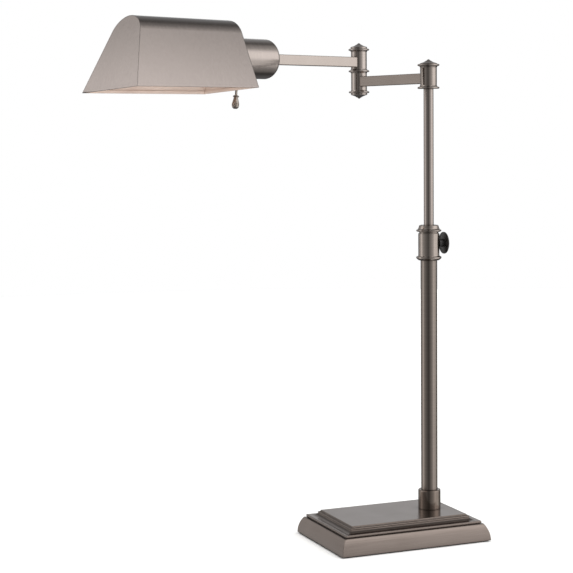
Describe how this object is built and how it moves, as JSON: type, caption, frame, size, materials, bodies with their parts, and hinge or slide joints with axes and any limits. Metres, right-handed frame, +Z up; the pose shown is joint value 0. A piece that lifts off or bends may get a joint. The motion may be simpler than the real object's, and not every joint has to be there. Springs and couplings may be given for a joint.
{
  "type": "pharmacy lamp",
  "caption": "Pharmacy desk lamp: stepped weighted base, telescoping column with thumb screw, double swing arm, and rectangular metal shade that rolls about its arm.",
  "frame": {"origin": "centre of the underside of the base, on the surface that the lamp stands on", "axes": "+X along the long side of the base towards the column, +Z up along the column, +Y towards the side where the knuckle stands at rest"},
  "size_m": [0.4732, 0.2363, 0.6215],
  "materials": {
    "pewter_base": "brushed pewter plating, satin",
    "pewter_tube": "brushed pewter plating, drawn tube",
    "pewter_turned": "brushed pewter plating, turned",
    "pewter_bar": "brushed pewter plating, straight grain",
    "pewter_shade": "brushed pewter plating, white enamel inside the shade",
    "pewter_switch": "polished pewter plating",
    "black_knob": "moulded black phenolic, satin",
    "steel": "bright zinc plating",
    "iron": "rough casting",
    "brass": "machined and pressed",
    "nylon": "natural nylon",
    "felt": "pressed wool felt",
    "black_rubber": "moulded",
    "porcelain": "glazed porcelain"
  },
  "bodies": {
    "stand": {"base_shell": "pewter_base", "base_weight": "iron", "base_plate": "steel", "felt_pad": "felt", "plate_screws": "steel", "cord_bushing": "black_rubber", "column_rod": "brass", "column_nut": "brass", "column_washer": "steel", "column_ferrule": "pewter_turned", "lower_tube": "pewter_tube", "collar_body": "pewter_turned", "collar_cap": "pewter_turned", "collar_ring": "pewter_turned", "collar_bush": "nylon"},
    "thumb_screw": {"thumb_knob": "black_knob", "thumb_shank": "steel", "thumb_tip": "nylon"},
    "upper_column": {"upper_tube": "pewter_tube", "guide_plug": "nylon", "hub_stud": "steel", "hub_lower_ring": "pewter_turned", "hub_upper_ring": "pewter_turned", "hub_cap": "pewter_turned"},
    "lower_arm": {"hub_barrel": "pewter_turned", "lower_arm_bar": "pewter_bar", "knuckle_lower_barrel": "pewter_turned", "knuckle_pin": "steel", "knuckle_lower_ring": "pewter_turned", "knuckle_bottom_cap": "pewter_turned", "knuckle_middle_ring": "pewter_turned", "knuckle_upper_ring": "pewter_turned", "knuckle_top_cap": "pewter_turned"},
    "upper_arm": {"knuckle_upper_barrel": "pewter_turned", "upper_arm_bar": "pewter_bar", "head_pivot": "steel", "pivot_nut": "brass"},
    "head": {"socket_cup": "pewter_shade", "socket_bridge": "steel", "lamp_holder": "porcelain", "screw_shell": "brass", "centre_contact": "brass", "shade": "pewter_shade", "shade_ring": "steel", "holder_screws": "steel", "switch_bushing": "pewter_switch"},
    "switch": {"switch_stem": "pewter_switch", "switch_knob": "pewter_switch"}
  },
  "joints": [
    {"name": "column_slide", "type": "slide", "parent": "stand", "child": "upper_column", "axis": [0, 0, 1], "range_m": [-0.15, 0.07]},
    {"name": "thumb_turn", "type": "hinge", "parent": "stand", "child": "thumb_screw", "pos_m": [0.0496, 0, 0.3562], "axis": [1, 0, 0], "range_deg": [0, 720]},
    {"name": "lower_arm_swing", "type": "hinge", "parent": "upper_column", "child": "lower_arm", "pos_m": [0.0496, 0, 0.556], "axis": [0, 0, 1], "range_deg": [-170, 170]},
    {"name": "upper_arm_swing", "type": "hinge", "parent": "lower_arm", "child": "upper_arm", "pos_m": [0.02392, 0.14271, 0.5781], "axis": [0, 0, 1], "range_deg": [-250, 60]},
    {"name": "head_roll", "type": "hinge", "parent": "upper_arm", "child": "head", "pos_m": [-0.12977, 0.07006, 0.5781], "axis": [-0.9041, -0.4274, 0], "range_deg": [-90, 90]},
    {"name": "switch_turn", "type": "hinge", "parent": "head", "child": "switch", "pos_m": [-0.17389, 0.0492, 0.5781], "axis": [-0.1298, -0.1317, -0.9828], "continuous": true}
  ]
}
